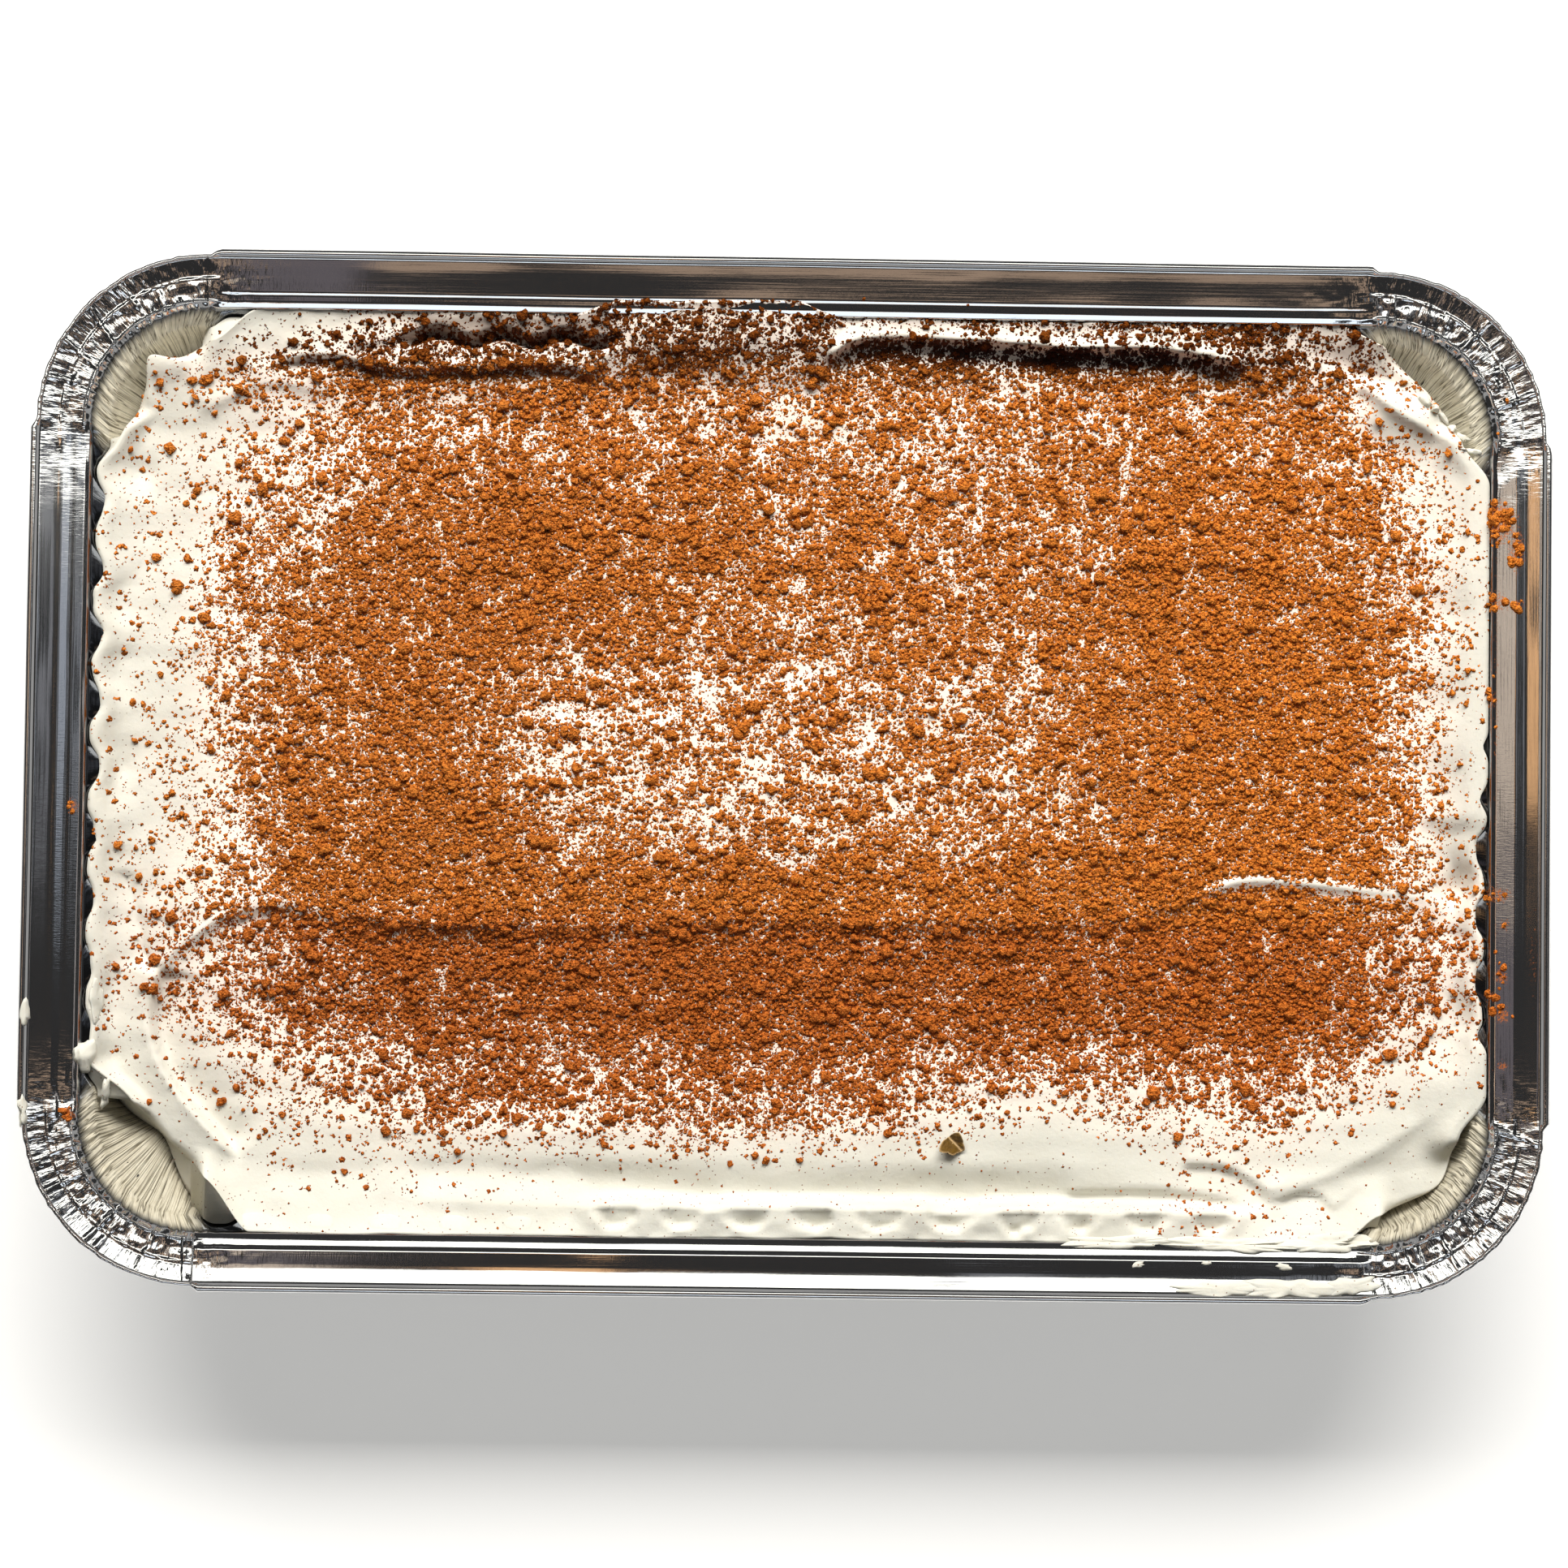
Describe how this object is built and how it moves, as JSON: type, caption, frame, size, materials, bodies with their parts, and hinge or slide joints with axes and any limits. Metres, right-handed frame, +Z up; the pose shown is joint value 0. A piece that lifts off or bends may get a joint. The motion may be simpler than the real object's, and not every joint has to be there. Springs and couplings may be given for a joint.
{
  "type": "tiramisu in a foil tray",
  "caption": "Tiramisu in a rectangular fluted foil tray with a stepped rolled rim; cream spread in swoops and dusted with cocoa, ready to serve.",
  "frame": {"origin": "on the table under the middle of the tray", "axes": "+X along the tray's long side, +Y towards the back edge, +Z up"},
  "size_m": [0.315, 0.215, 0.044],
  "materials": {
    "foil": "bright rolled foil, creased at the corners",
    "cream": null,
    "cocoa": null,
    "leaf": "dry leaf flake"
  },
  "bodies": {
    "root": {"foil_tray": "foil", "tiramisu_cream": "cream"}
  },
  "joints": []
}
